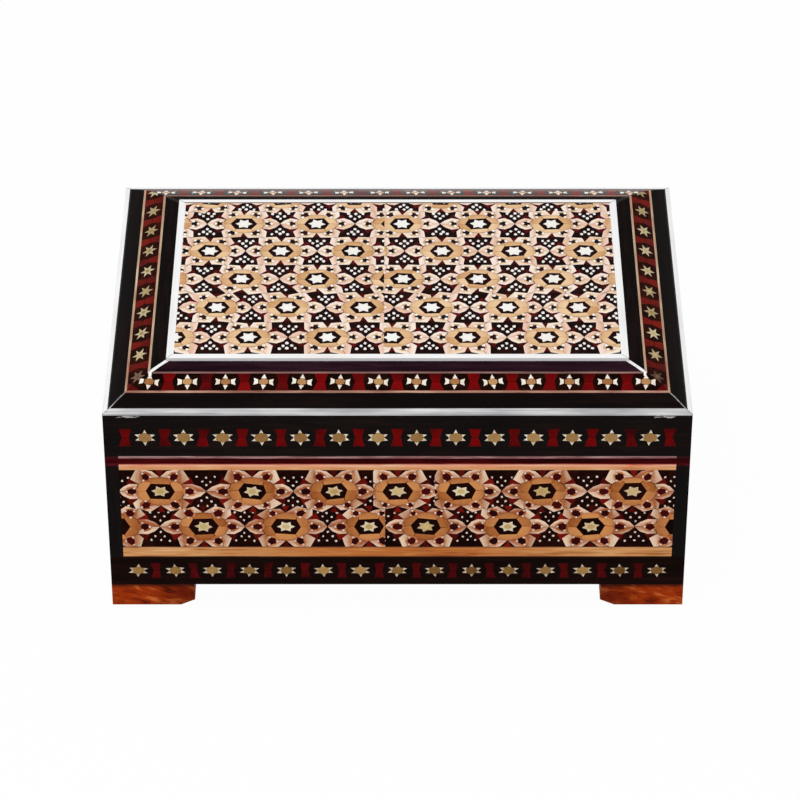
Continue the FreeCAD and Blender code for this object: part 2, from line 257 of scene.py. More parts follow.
lacquer = {
    "grain": (45, 500, 500), "twist": 0.4, "patches": (25, 60, 60), "roughness": (0.2, 0.34), "relief": 0.01,
}
starBand = {**lacquer, "patches": (80, 160, 160), "roughness": (0.22, 0.36)}
wideString = {"grain": (60, 900, 900), "twist": 0.8, "roughness": (0.3, 0.45), "relief": 0.03}
fineString = {
    "grain": (80, 1500, 1500), "twist": 0.5, "patches": (60, 300, 300),
    "roughness": (0.35, 0.5), "shine": 0.06, "relief": 0.02,
}
boneStrip = {"twist": 0.2, "patches": (40, 150, 150), "roughness": (0.32, 0.45), "relief": 0.02}
stripLooks = {
    "blackLacquer": {
        **lacquer, "shine": 0.03,
        "colours": ((12, 8, 7), (18, 11, 9), (28, 17, 13)),
    },
    "plinthLacquer": {
        **lacquer, "shine": 0.016,
        "colours": ((14, 5, 3), (21, 8, 5), (32, 13, 9)),
    },
    "bandLacquer": {
        **starBand, "shine": 0.007,
        "colours": ((14, 4, 2), (25, 8, 4), (42, 15, 9)),
        "elsewhere": {"end": ((22, 5, 2), (38, 10, 4), (58, 19, 9))},
    },
    "rearBandLacquer": {
        **starBand, "shine": 0.07,
        "colours": ((18, 6, 3), (30, 10, 5), (46, 17, 10)),
    },
    "postLacquer": {
        **lacquer, "shine": 0.03, "grain": (500, 500, 45), "patches": (60, 60, 25),
        "colours": ((10, 8, 9), (16, 11, 11), (26, 17, 15)),
        "elsewhere": {"postTop": ((46, 3, 12), (72, 6, 20), (96, 22, 36))},
    },
    "mouldingLacquer": {
        **lacquer, "shine": 0.007, "roughness": (0.22, 0.36),
        "colours": ((12, 8, 8), (16, 10, 9), (27, 17, 15)),
        # painted reflection: a purple tint on the inner front slope
        "elsewhere": {"frontInner": ((26, 10, 18), (37, 17, 27), (52, 28, 38))},
    },
    "khatamGround": {
        "colours": ((16, 3, 2), (28, 7, 4), (46, 14, 8)),
        "grain": (300, 300, 300), "twist": 0.6, "patches": (60, 60, 60),
        "roughness": (0.24, 0.36), "shine": 0.012, "relief": 0.01,
    },
    "orangeString": {
        **wideString, "shine": 0.1, "patches": (40, 200, 200),
        "colours": ((146, 68, 20), (192, 108, 48), (204, 122, 58), (222, 154, 90)),
        "elsewhere": {
            "nearCorner": ((172, 104, 52), (218, 152, 92), (230, 170, 110), (244, 200, 150)),
            "lowerStringEdges": ((62, 30, 14), (96, 52, 28), (132, 82, 48)),
        },
    },
    "peachString": {
        **wideString, "shine": 0.08, "patches": (40, 300, 300),
        "colours": ((224, 108, 80), (244, 160, 128), (249, 178, 146), (253, 202, 172)),
        "elsewhere": {
            "upperStringFoot": ((192, 108, 60), (222, 152, 100), (232, 168, 116), (244, 192, 144)),
            "upperStringTop": ((86, 14, 12), (122, 38, 30), (164, 78, 60)),
        },
    },
    "lidString": {
        **fineString,
        "colours": ((92, 48, 50), (146, 102, 102), (196, 160, 158)),
        "elsewhere": {
            "lidStringFoot": ((40, 2, 3), (60, 4, 6), (86, 12, 14)),
            "corner": ((30, 4, 8), (44, 5, 12), (70, 10, 22)),
        },
    },
    "mouldingString": {
        **fineString,
        "colours": ((122, 74, 60), (172, 124, 106), (204, 158, 136)),
        "elsewhere": {
            "frontInner": ((82, 56, 50), (132, 98, 90), (166, 130, 120)),
            "end": ((160, 104, 80), (192, 160, 132), (220, 198, 170)),
        },
    },
    "rimRed": {
        "colours": ((36, 1, 2), (56, 2, 4), (82, 10, 12)),
        "grain": (50, 900, 900), "twist": 0.5, "patches": (30, 150, 150),
        "roughness": (0.3, 0.45), "shine": 0.015, "relief": 0.02,
    },
    "edgeBone": {
        "colours": ((236, 236, 236), (249, 249, 249), (253, 253, 253)),
        "grain": (18, 1600, 1600), "twist": 0.2, "patches": (50, 250, 250),
        "roughness": (0.32, 0.48), "shine": 0.1, "relief": 0.03,
        "elsewhere": {
            # painted shade: the front strip greyer than its ends
            "front": ((154, 153, 156), (195, 194, 196), (232, 232, 232)),
            "endInner": ((12, 8, 8), (16, 10, 9), (27, 17, 15)),
            "mitre": ((60, 58, 57), (104, 102, 100), (150, 148, 146)),
        },
    },
    "panelBone": {
        **boneStrip, "shine": 0.1, "grain": (20, 1200, 1200),
        "colours": ((240, 239, 238), (250, 250, 250), (253, 253, 253)),
        "elsewhere": {
            "mitre": ((96, 94, 92), (140, 138, 136), (180, 178, 176)),
            "rearInner": ((62, 44, 38), (94, 72, 64), (134, 112, 102)),
        },
    },
    "hipBone": {
        **boneStrip, "shine": 0.05, "grain": (90, 600, 600),
        "colours": ((224, 223, 222), (248, 248, 248), (253, 253, 253)),
        "elsewhere": {
            "outer": ((84, 80, 80), (140, 137, 136), (206, 204, 203)),
            "rear": ((14, 10, 9), (26, 19, 17), (52, 42, 38)),
        },
    },
    "footWood": {
        "colours": ((98, 22, 1), (154, 48, 3), (170, 60, 8), (212, 112, 52)),
        "grain": (90, 420, 420), "twist": 1.8, "patches": (120, 160, 260), "tilt": -16.0,
        "roughness": (0.38, 0.55), "shine": 0.04, "relief": 0.08,
        "elsewhere": {
            # painted shade, darker towards the foot's inner end
            "footInnerShade": ((52, 6, 0), (88, 17, 1), (104, 26, 3), (140, 58, 20)),
            # painted shadow under the plinth, dark at the foot's top
            "footTopShadow": ((22, 6, 2), (40, 13, 6), (74, 32, 16)),
        },
    },
    "carcassWood": {
        "colours": ((118, 72, 38), (156, 104, 62), (182, 132, 84)),
        "grain": (30, 500, 500), "twist": 0.9, "patches": (20, 60, 60),
        "roughness": (0.45, 0.6), "shine": 0.25, "relief": 0.04,
    },
}
finishes = {name: stripWood(name, look) for name, look in stripLooks.items()}

inlayLook = {
    "shine": 0.022, "roughness": 0.34, "grain": (900, 1400, 900), "twist": 0.5,
    "grainShare": 0.5, "toneShare": 0.7, "shift": -0.1, "darkEnd": 0.1, "lightEnd": 0.9,
}


def inlayWood(name, dark, light, shine=inlayLook["shine"]):  # each chip has its own tone, and a fine grain
    settings = {"Specular IOR Level": shine, "Roughness": inlayLook["roughness"]}
    material, tree, shader = newMaterial(name, settings)
    tone = addNode(tree, "ShaderNodeAttribute", {}, attribute_name="tone").outputs["Fac"]
    grain = noise(tree, objectPlace(tree), inlayLook["grain"], roughness=0.6, distortion=inlayLook["twist"])
    toned = calculate(tree, "MULTIPLY_ADD", tone, inlayLook["toneShare"], inlayLook["shift"])
    mixed = calculate(tree, "MULTIPLY_ADD", grain, inlayLook["grainShare"], toned)
    stops = [(inlayLook["darkEnd"], dark), (inlayLook["lightEnd"], light)]
    tree.links.new(ramp(tree, mixed, stops), shader.inputs["Base Color"])
    return material


inlayColours = {
    "ringTan": ((208, 155, 103), (244, 208, 165)),
    "ringOrange": ((160, 84, 34), (222, 150, 90)),
    "petalCream": ((236, 193, 158), (255, 239, 221)),
    "petalPink": ((236, 190, 166), (255, 238, 226)),
    "petalPeach": ((176, 106, 66), (252, 220, 190)),
    "petalRose": ((176, 98, 64), (252, 212, 184)),
    "socketTan": ((200, 158, 116), (232, 198, 158)),
    "socketBrown": ((168, 92, 48), (214, 142, 94)),
    "seamTan": ((154, 108, 66), (192, 148, 102)),
    "seamBrown": ((112, 58, 24), (156, 92, 46)),
    "hexagonDark": ((18, 4, 3), (38, 11, 7), 0.012),
    "kernelRed": ((34, 3, 5), (76, 8, 10)),
    "kernelDark": ((20, 5, 4), (48, 12, 10)),
    "notchRed": ((52, 4, 4), (94, 9, 8)),
    "notchRust": ((66, 6, 4), (130, 22, 10)),
    "bone": ((248, 244, 236), (255, 254, 252)),
    "dotCream": ((226, 206, 188), (248, 236, 222)),
    "starYellow": ((208, 178, 126), (254, 242, 216)),
    "starYolk": ((192, 160, 98), (226, 198, 138)),
    "blockRed": ((57, 3, 4), (130, 4, 6)),
    # painted shade: a darker copy of blockRed, for the plinth low on the box
    "blockRedShaded": ((44, 4, 6), (98, 6, 10)),
    "blockOrange": ((70, 5, 3), (124, 20, 6)),
    # painted shade: darker copies of starTan and tipCream, for the plinth low on the box
    "plinthTanShaded": ((106, 70, 30), (196, 153, 93)),
    "plinthTipShaded": ((190, 170, 144), (232, 216, 196)),
    # lighter copies of blockRed and starOrange for the back band: partly painted reflection of the white behind
    # the box, partly its own colour
    "rearRedWithReflection": ((78, 2, 4), (132, 4, 6), 0.07),
    "rearOrangeWithReflection": ((206, 164, 126), (240, 210, 180), 0.07),
    "rearBone": ((248, 244, 236), (255, 254, 252), 0.07),
    "starTan": ((140, 94, 48), (196, 160, 104)),
    "wingCream": ((232, 220, 202), (252, 246, 236)),
    "tipCream": ((212, 200, 174), (250, 244, 228)),
    "starOrange": ((155, 99, 55), (200, 155, 105)),
    "starGold": ((172, 152, 112), (228, 214, 178)),
    "starKhaki": ((150, 126, 80), (204, 182, 132)),
    "starDim": ((84, 62, 48), (140, 112, 92)),
}
inlayWoods = {name: inlayWood(name, *colours) for name, colours in inlayColours.items()}

velvetLook = {
    "shader": {
        "Roughness": 0.95, "Specular IOR Level": 0.1,
        "Sheen Weight": 0.6, "Sheen Roughness": 0.35, "Sheen Tint": paint(236, 120, 120),
    },
    "pile": (4200, 4200, 4200), "pileShare": 0.35, "strokes": (45, 70, 60), "relief": 0.12,
    "stops": ((0.34, (58, 4, 10)), (0.5, (96, 8, 16)), (0.66, (132, 18, 26))),
}


def velvetCloth(name, look):  # a short pile, stroked this way and that
    material, tree, shader = newMaterial(name, look["shader"])
    place = objectPlace(tree)
    pile = noise(tree, place, look["pile"], detail=2.0)
    strokes = noise(tree, place, look["strokes"], detail=3.0, roughness=0.6, distortion=1.2)
    both = weighed(tree, pile, look["pileShare"], strokes)
    tree.links.new(ramp(tree, both, look["stops"]), shader.inputs["Base Color"])
    relief(tree, shader, pile, look["relief"])
    return material


brassLook = {
    "tarnish": (260, 260, 260), "roughness": (0.42, 0.24), "brushing": (80, 2500, 2500), "relief": 0.01,
    "stops": ((0.35, (150, 108, 48)), (0.5, (206, 164, 88)), (0.65, (226, 190, 116))),
}


def hingeBrass(name, look):
    material, tree, shader = newMaterial(name, {"Metallic": 1.0})
    place = objectPlace(tree)
    tarnish = noise(tree, place, look["tarnish"], detail=5.0, roughness=0.6)
    tree.links.new(ramp(tree, tarnish, look["stops"]), shader.inputs["Base Color"])
    tree.links.new(between(tree, tarnish, *look["roughness"]), shader.inputs["Roughness"])
    relief(tree, shader, noise(tree, place, look["brushing"], detail=3.0), look["relief"])
    return material


velvet = velvetCloth("velvet", velvetLook)
finishes["hingeBrass"] = hingeBrass("hingeBrass", brassLook)

nodeFinishes = {  # which finish each kind of CAD piece wears, by the start of its name
    "base_khatam": "khatamGround",
    "lid_khatam": "khatamGround",
    "plinth_band": "plinthLacquer",
    "corner_post": "postLacquer",
    "lid_band": "blackLacquer",
    "lid_moulding": "mouldingLacquer",
    "moulding_star_band_back": "rearBandLacquer",  # polished more, it takes on the white behind it
    "moulding_star_band": "bandLacquer",
    "moulding_stringing": "mouldingString",
    "lid_lower_stringing": "lidString",
    "base_lower_stringing": "orangeString",
    "base_upper_stringing": "peachString",
    "base_rim": "rimRed",
    "lid_edge_strip": "edgeBone",
    "hip_stringing": "hipBone",
    "lid_panel_border": "panelBone",
    "foot_": "footWood",
    "hinge_": "hingeBrass",
}
for name, cadNode in nodes.items():
    matches = [finish for start, finish in nodeFinishes.items() if name.startswith(start)]
    cadNode.material_slots[0].material = finishes[matches[0] if matches else "carcassWood"]
print("finishes made:", len(bpy.data.materials))


def addPiece(name, bm, materials):
    mesh = bpy.data.meshes.new(name)
    bm.to_mesh(mesh)
    bm.free()
    for material in materials:
        mesh.materials.append(material)
    piece = bpy.data.objects.new(name, mesh)
    scene.collection.objects.link(piece)
    return piece


# Inlay: flat chips are laid face up in millimetres, trimmed, given their thickness and pressed on to the box
chipLook = {  # a chip's level counts the steps that it stands above the sheet
    "step": 0.03, "thickness": 0.07, "wobble": 0.1, "joint": 0.042, "waistShade": 0.3,
}


def startInlay():
    bm = bmesh.new()
    return {"bm": bm, "tone": bm.verts.layers.float.new("tone"), "woods": []}


def settleChip(inlay, face, wood, level, tone=None):
    if wood not in inlay["woods"]:
        inlay["woods"].append(wood)
    face.material_index = inlay["woods"].index(wood)
    tone = dice.random() if tone is None else tone
    middle = face.calc_center_median()
    for vert in face.verts:
        vert[inlay["tone"]] = tone
        shake = Vector((wander(1), wander(1), 0)) * chipLook["wobble"]
        vert.co += (middle - vert.co) * chipLook["joint"] + shake
        vert.co.z = level * chipLook["step"]


def cutChip(inlay, outline, wood, level=1, tone=None, shades=()):
    verts = [inlay["bm"].verts.new((point[0], point[1], 0)) for point in outline]
    settleChip(inlay, inlay["bm"].faces.new(verts), wood, level, tone)
    for vert, shade in zip(verts, shades):  # darker or lighter towards a corner, as if shaded in hot sand
        vert[inlay["tone"]] += shade


def regularChip(inlay, centre, radii, sides, wood, level=1, spin=0.0, turn=0.0):
    squeeze = Matrix.Rotation(turn, 4, "Z") @ Matrix.Diagonal((*radii, 1, 1)) @ Matrix.Rotation(spin, 4, "Z")
    place = Matrix.Translation((*centre, 0)) @ squeeze
    made = bmesh.ops.create_circle(
        inlay["bm"], cap_ends=True, segments=sides, radius=1, matrix=place,
    )["verts"]
    settleChip(inlay, made[0].link_faces[0], wood, level)
    return made


def starChip(inlay, centre, radii, waist, wood, level, spin):  # a twelve-sided chip drawn in to a star
    middle = Vector((*centre, 0))
    for vert in regularChip(inlay, centre, radii, 12, wood, level, spin)[::2]:
        flat = Vector((vert.co.x, vert.co.y, 0))
        vert.co = middle + (flat - middle) * waist + Vector((0, 0, vert.co.z))
        vert[inlay["tone"]] -= chipLook["waistShade"]


def trim(inlay, faces, point, normal):  # takes away what lies beyond a line, and gives back the rest
    geom = dict.fromkeys(part for face in faces for part in (face, *face.edges, *face.verts))  # each once
    cut = bmesh.ops.bisect_plane(
        inlay["bm"], geom=list(geom), dist=1e-5,
        plane_co=(*point, 0), plane_no=(*normal, 0), clear_outer=True,
    )
    return [part for part in cut["geom"] if isinstance(part, bmesh.types.BMFace)]


def trimToSheet(inlay, low, high):
    for point, normal in ((low, (-1, 0)), (low, (0, -1)), (high, (1, 0)), (high, (0, 1))):
        trim(inlay, inlay["bm"].faces, point, normal)


def pressOn(inlay, name, body, place, bend=None):
    bm = inlay["bm"]
    under = bmesh.ops.extrude_face_region(bm, geom=bm.faces[:], use_keep_orig=True)["geom"]
    sunk = [part for part in under if isinstance(part, bmesh.types.BMVert)]
    bmesh.ops.translate(bm, verts=sunk, vec=(0, 0, -chipLook["thickness"]))
    if bend:
        for vert in bm.verts:
            vert.co = bend(vert.co)
    bmesh.ops.transform(bm, matrix=place, verts=bm.verts)
    bmesh.ops.recalc_face_normals(bm, faces=bm.faces)
    piece = addPiece(name, bm, [inlayWoods[wood] for wood in inlay["woods"]])
    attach(piece, body)


# Khatam flowers: a ring of six chips round a dark hexagon with a star, and six eye-shaped petals
sideFlower = {
    "ring": (8.5, 6.15), "hexagon": (4.9, 4.35), "hexagonTurn": 52,
    "star": (3.25, 2.5), "waist": 0.62, "starSpin": 0.3, "starReach": 94,
    "lidWidth": 3.3, "innerWidth": 3.3, "ear": (9.8, 5.1), "blunt": 0.9,
    "socket": (2.6, 2.3), "kernel": (1.85, 1.6), "petalDot": (0.42, 0.42), "dotReach": 0.95,
    "notch": (1.5, 2.9), "sideNotch": (1.8, 4.0),
    "ringWood": "ringOrange", "seamWood": "seamBrown", "starWood": "starYellow", "heartWood": "starYolk",
    "outerLid": "petalPeach", "innerLid": "petalRose", "kernelWood": "kernelRed",
    "socketWood": "socketBrown", "dotWood": "dotCream", "notchWood": "notchRust",
    "pitch": 28.5, "edgeRise": 9.6, "gapDot": (0.45, 0.5),
    "gapRows": ((2.6, (0,)), (4.3, (-1.5, 1.5)), (6.1, (-3.2, 0, 3.2))),
}
lidFlower = {
    "ring": (7.6, 5.9), "hexagon": (4.5, 4.25), "hexagonTurn": 56,
    "star": (3.2, 3.2), "waist": 0.63, "starSpin": 0.1, "starReach": 100,
    "lidWidth": 3.7, "innerWidth": 4.2, "ear": (8.3, 5.0), "blunt": 1.2,
    "socket": (2.1, 2.5), "kernel": (1.4, 1.75), "petalDot": (0.6, 0.72), "dotReach": 0.86,
    "notch": (1.4, 2.5), "sideNotch": (1.9, 3.7),
    "ringWood": "ringTan", "seamWood": "seamTan", "starWood": "bone", "heartWood": "bone",
    "outerLid": "petalPink", "innerLid": "petalCream", "kernelWood": "kernelDark",
    "socketWood": "socketTan", "dotWood": "bone", "notchWood": "notchRed",
    "pitch": 26.4, "edgeRise": 10.2, "gapDot": (0.66, 0.86),
    "gapRows": ((3.4, (0,)), (5.0, (-1.35, 1.35)), (6.6, (-2.6, 0, 2.6))),
}


def around(centre, radii, degrees):
    angle = math.radians(degrees)
    return centre + Vector((radii[0] * math.cos(angle), radii[1] * math.sin(angle)))


eyeLook = {  # a full petal's length, shares of the petal or the kernel, and numbers of sides
    "fullPetal": 3.6, "place": 0.22, "kernelSize": (0.9, 1.1), "socketSides": 7, "kernelSides": (5, 6),
    "dots": ((-0.5, -1.0), (-0.5, 1.0), (1.05, 0.0)), "dotSides": 6,
}


def layEye(inlay, root, axis, look):  # a dark kernel close to the ring, with three dots round it
    ahead = axis.normalized()
    across = Vector((-ahead.y, ahead.x))
    size = min(1, axis.length / eyeLook["fullPetal"])
    along, wide = [radius * size * dice.uniform(*eyeLook["kernelSize"]) for radius in look["kernel"]]
    kernel = root + axis * eyeLook["place"]
    turn = math.atan2(ahead.y, ahead.x)
    socket = [radius * size for radius in look["socket"]]
    regularChip(inlay, kernel, socket, eyeLook["socketSides"], look["socketWood"], 3, dice.random(), turn)
    sides = dice.choice(eyeLook["kernelSides"])
    regularChip(inlay, kernel, (along, wide), sides, look["kernelWood"], 4, dice.random(), turn)
    for step, side in eyeLook["dots"]:
        spot = kernel + (ahead * along * step + across * wide * side) * look["dotReach"]
        regularChip(inlay, spot, look["petalDot"], eyeLook["dotSides"], look["dotWood"], 5, dice.random())


petalLook = {  # shares of the petal's length and width, millimetres, and the tones of a lid's corners
    "shoulder": 0.34, "cheek": 0.74, "cheekWidth": 0.62, "tipWidth": 0.12, "earShake": 0.5,
    "sideShades": (-0.7, -0.2, 0.35, 0.45, 0.2, -0.2), "slantShades": (-0.7, -0.2, 0.4, 0.45, -0.1),
}


def laySidePetal(inlay, root, notches, tip, look):  # an almond of two lids, towards the next flower
    axis = tip - root
    across = Vector((-axis.y, axis.x)).normalized()
    woods = dice.sample((look["outerLid"], look["innerLid"]), 2)
    for sign, notch, wood in zip((-1, 1), notches, woods):
        shoulder = root + axis * petalLook["shoulder"] + across * sign * look["lidWidth"]
        cheek = root + axis * petalLook["cheek"] + across * sign * look["lidWidth"] * petalLook["cheekWidth"]
        outline = (root, notch, shoulder, cheek, tip + across * sign * petalLook["tipWidth"], tip)
        cutChip(inlay, outline, wood, 2, shades=petalLook["sideShades"])
    layEye(inlay, root, axis, look)


def laySlantPetal(inlay, centre, root, inner, outer, tip, look):  # a narrow lid, and a wide ear outside it
    axis = tip - root
    side = math.copysign(1, root.x - centre.x)
    lift = math.copysign(1, root.y - centre.y)
    across = Vector((-axis.y, axis.x)).normalized() * -side * lift
    blunt = Vector((side * look["blunt"], 0))
    shoulder = root + axis * petalLook["shoulder"] - across * look["innerWidth"]
    shades = petalLook["slantShades"]
    cutChip(inlay, (root, inner, shoulder, tip - blunt, tip), look["innerLid"], 2, shades=shades)
    shake = Vector((wander(petalLook["earShake"]), 0))
    ear = centre + Vector((side * look["ear"][0], lift * look["ear"][1])) + shake
    cutChip(inlay, (root, outer, ear, tip + blunt, tip), look["outerLid"], 2, shades=shades)
    layEye(inlay, root, axis, look)


def layNotch(inlay, centre, corner, size, wood):  # the red wedge between two petals
    out = (corner - centre).normalized()
    across = Vector((-out.y, out.x)) * size[0]
    back = corner + out * size[1]
    cutChip(inlay, (corner, back - across, back + across), wood, 1)


flowerLook = {  # degrees, shares of the ring, the hexagon or the star, and the tones of a ring chip's corners
    "lean": 9, "turn": 5, "length": (0.93, 1.07), "bed": 0.96, "well": 1.06, "heart": 0.45,
    "ringShades": (-0.25, -0.1, -0.25, 0.25, 0.25),
}


def layFlower(inlay, centre, tips, look):
    corners = [around(centre, look["ring"], 60 * k + 30) for k in range(6)]
    roots = [around(centre, look["ring"], 60 * k) for k in range(6)]
    lean = wander(flowerLook["lean"])  # the hexagon is never quite straight, nor of one length
    hexagon = (look["hexagon"][0] * dice.uniform(*flowerLook["length"]), look["hexagon"][1])
    half = look["hexagonTurn"] + wander(flowerLook["turn"])
    turns = [turn + lean for turn in (0, half, 180 - half, 180, 180 + half, 360 - half)]
    bed = [radius * flowerLook["bed"] for radius in look["ring"]]  # brown under the ring's seams
    regularChip(inlay, centre, bed, 12, look["seamWood"], 1)
    well = [radius * flowerLook["well"] for radius in hexagon]
    cutChip(inlay, [around(centre, well, turn) for turn in turns], "hexagonDark", 1.5)
    for k in range(6):
        within = [around(centre, hexagon, turns[(k + step) % 6]) for step in (1, 0)]
        ring = (roots[k], corners[k], roots[(k + 1) % 6], *within)
        cutChip(inlay, ring, look["ringWood"], 2, shades=flowerLook["ringShades"])
        size = look["notch" if k in (1, 4) else "sideNotch"]
        layNotch(inlay, centre, corners[k], size, look["notchWood"])
    for k in (0, 3):
        laySidePetal(inlay, roots[k], (corners[k - 1], corners[k]), tips[k], look)
    for k, inner, outer in ((1, 1, 0), (2, 1, 2), (4, 4, 3), (5, 4, 5)):  # a root, and the corners beside it
        laySlantPetal(inlay, centre, roots[k], corners[inner], corners[outer], tips[k], look)
    if abs(centre.x) > look["starReach"]:  # the half flowers at the ends have none
        return
    spin = wander(1) * look["starSpin"]
    starChip(inlay, centre, look["star"], look["waist"], look["starWood"], 2, spin)
    heart = [radius * flowerLook["heart"] for radius in look["star"]]
    regularChip(inlay, centre, heart, 6, look["heartWood"], 3, spin)


gapLook = {"shake": (0.3, 0.25), "sides": (4, 5, 6), "spin": 6}


def layGap(inlay, crossing, look):  # six dots above and six below where two petals meet tip to tip
    for sign in (-1, 1):
        for height, steps in look["gapRows"]:
            for step in steps:
                shake = Vector([wander(most) for most in gapLook["shake"]])
                spot = crossing + Vector((step, sign * height)) + shake
                sides = dice.choice(gapLook["sides"])
                spin = dice.uniform(0, gapLook["spin"])
                regularChip(inlay, spot, look["gapDot"], sides, look["dotWood"], 1, spin)


nearShares = (0.2, 0.8)  # of the pitch: how far along its row a neighbour may stand


def halfWay(row, u, direction, look):  # half the way to the neighbour in another row, or to where it would be
    nearest, farthest = nearShares
    steps = [place - u for place in row if nearest < direction * (place - u) / look["pitch"] < farthest]
    return min(steps, key=abs) / 2 if steps else direction * look["pitch"] / 4


def layField(inlay, rows, cuts, look):  # rows of flowers from the lowest up, with the joints cut across each
    for index, (v, row) in enumerate(rows):
        above = rows[index + 1] if index + 1 < len(rows) else (v + 2 * look["edgeRise"], ())
        below = rows[index - 1] if index else (v - 2 * look["edgeRise"], ())
        joints = cuts[index] if cuts else ()
        for column, u in enumerate(row):
            centre = Vector((u, v))
            steps = {}
            for sign in (-1, 1):
                inRow = 0 <= column + sign < len(row)
                other = row[column + sign] if inRow else u + sign * look["pitch"]
                parted = any(min(u, other) < joint < max(u, other) for joint in joints)
                steps[sign] = (sign * look["pitch"] / 2 if parted else (other - u) / 2, parted or not inRow)
            rise, drop = (above[0] - v) / 2, (below[0] - v) / 2
            tips = (
                Vector((steps[1][0], 0)),
                Vector((halfWay(above[1], u, 1, look), rise)),
                Vector((halfWay(above[1], u, -1, look), rise)),
                Vector((steps[-1][0], 0)),
                Vector((halfWay(below[1], u, -1, look), drop)),
                Vector((halfWay(below[1], u, 1, look), drop)),
            )
            before = set(inlay["bm"].faces)
            layFlower(inlay, centre, [centre + tip for tip in tips], look)
            layGap(inlay, centre + tips[0], look)
            if steps[-1][1]:
                layGap(inlay, centre + tips[3], look)
            laid = [face for face in inlay["bm"].faces if face not in before]
            for joint in joints:
                laid = trim(inlay, laid, (joint, 0), (math.copysign(1, joint - u), 0))


def evenRows(half, look, low, high):  # a regular field for a side of this half length
    count = math.ceil(half / look["pitch"])
    lower = [(k + 0.5) * look["pitch"] for k in range(-count - 1, count + 1)]
    upper = [k * look["pitch"] for k in range(-count, count + 1)]
    return [(low, lower), (high, upper)]


frontField = {  # each row's height with the flowers' places along it, and the joints in each row
    "rows": [
        (34.7, (-97.3, -67.0, -38.6, -9.8, 9.8, 38.2, 66.8, 97.3)),
        (50.0, (-81.5, -49.8, -21.8, 0.1, 21.8, 49.7, 80.9)),
    ],
    "joints": [(-4.3,), (-8.3, 12.8)],
}
for side in sideTurns:
    low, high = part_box("base_khatam_" + side)
    half = (runOf(side) - postWidth) / mm
    inlay = startInlay()
    if side == "front":
        layField(inlay, frontField["rows"], frontField["joints"], sideFlower)
    else:
        rows = evenRows(half, sideFlower, frontField["rows"][0][0], frontField["rows"][1][0])
        layField(inlay, rows, None, sideFlower)
    trimToSheet(inlay, (-half, low.z / mm), (half, high.z / mm))
    pressOn(inlay, "khatam_inlay_" + side, "base", onSide(side))
print("khatam laid on the base")

lidRows = [  # the same on the right sheet, whose places the left sheet mirrors
    (-37.3, (-1.9, 24.1, 51.3, 77.2)),
    (-19.2, (-14.4, 11.9, 38.3, 62.9, 89.4)),
    (-1.6, (1.9, 28.3, 54.9, 81.3)),
    (16.0, (-10.8, 15.8, 41.4, 66.7, 93.0)),
    (33.5, (1.6, 29.0, 55.2, 81.6)),
    (49.5, (-10.8, 15.6, 41.8, 67.2, 93.4)),
]
for side, hand in (("left", -1), ("right", 1)):
    low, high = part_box("lid_khatam_" + side)
    rows = [(v, sorted(hand * u for u in row)) for v, row in lidRows]
    inlay = startInlay()
    layField(inlay, rows, None, lidFlower)
    trimToSheet(inlay, (low.x / mm, low.y / mm), (high.x / mm, high.y / mm))
    place = Matrix.Translation((0, 0, high.z)) @ Matrix.Scale(mm, 4)
    pressOn(inlay, "khatam_inlay_lid_" + side, "lid", place)
print("khatam laid on the lid")

# Star rows: hexagons with six tips, and red blocks drawn in at the waist
lidStars = {
    "level": 73.0, "first": -85.9, "pitch": 13.2, "endRoom": 7, "endBlocks": True, "lean": 5,
    "hexagon": (2.6, 2.2), "tips": (3.95, 3.4), "sideRise": 0.75, "tipFoot": 0.54, "tipWidth": 0.74,
    "centreWood": "starTan", "tipWood": "tipCream", "block": (2.15, 1.2, 3.7), "blockWood": "blockRed",
}
# the plinth's woods are darker copies of the lid's: painted shade
plinthStars = {
    "level": 15.3, "first": -90.4, "pitch": 12.9, "endRoom": 7, "endBlocks": False, "lean": 5,
    "hexagon": (2.25, 1.9), "tips": (3.8, 2.9), "sideRise": 0.74, "tipFoot": 0.55, "tipWidth": 0.62,
    "centreWood": "plinthTanShaded", "tipWood": "plinthTipShaded", "block": (1.75, 1.1, 3.3), "blockWood": "blockRedShaded",
}


def layStar(inlay, centre, look):
    lean = wander(look["lean"])
    regularChip(inlay, centre, look["hexagon"], 6, look["centreWood"], 2, math.radians(lean))
    for k in range(6):
        tip = around(Vector((0, 0)), look["tips"], 60 * k + 30 + lean)
        tip.y *= 1 if k in (1, 4) else look["sideRise"]
        foot = tip * look["tipFoot"]
        across = Vector((-tip.y, tip.x)).normalized() * look["tipWidth"]
        cutChip(inlay, (centre + foot - across, centre + tip, centre + foot + across), look["tipWood"], 1)


def layWingedStar(inlay, centre, look):  # a fish tail at each end, a tip above and a tip below
    lean = wander(look["lean"])
    turn = Matrix.Rotation(lean, 2)
    regularChip(inlay, centre, look["hexagon"], 6, look["centreWood"], 1, lean)
    foot, reach, inner, outer, fork = look["wing"]
    base, height, width = look["tip"]
    for sign in (-1, 1):
        wing = ((foot, -inner), (reach, -outer), (reach - fork, 0), (reach, outer), (foot, inner))
        cutChip(inlay, [centre + turn @ Vector((sign * u, v)) for u, v in wing], look["tipWood"], 1)
        tip = ((-width, base), (0, height), (width, base))
        cutChip(inlay, [centre + turn @ Vector((u, sign * v)) for u, v in tip], look["tipWood"], 1)


blockLook = {
    "tone": (0.3, 0.75), "slide": 0.45, "halfTone": (-0.3, 0.2), "endShade": (-0.5, 0.1), "waistShade": 0.1,
}


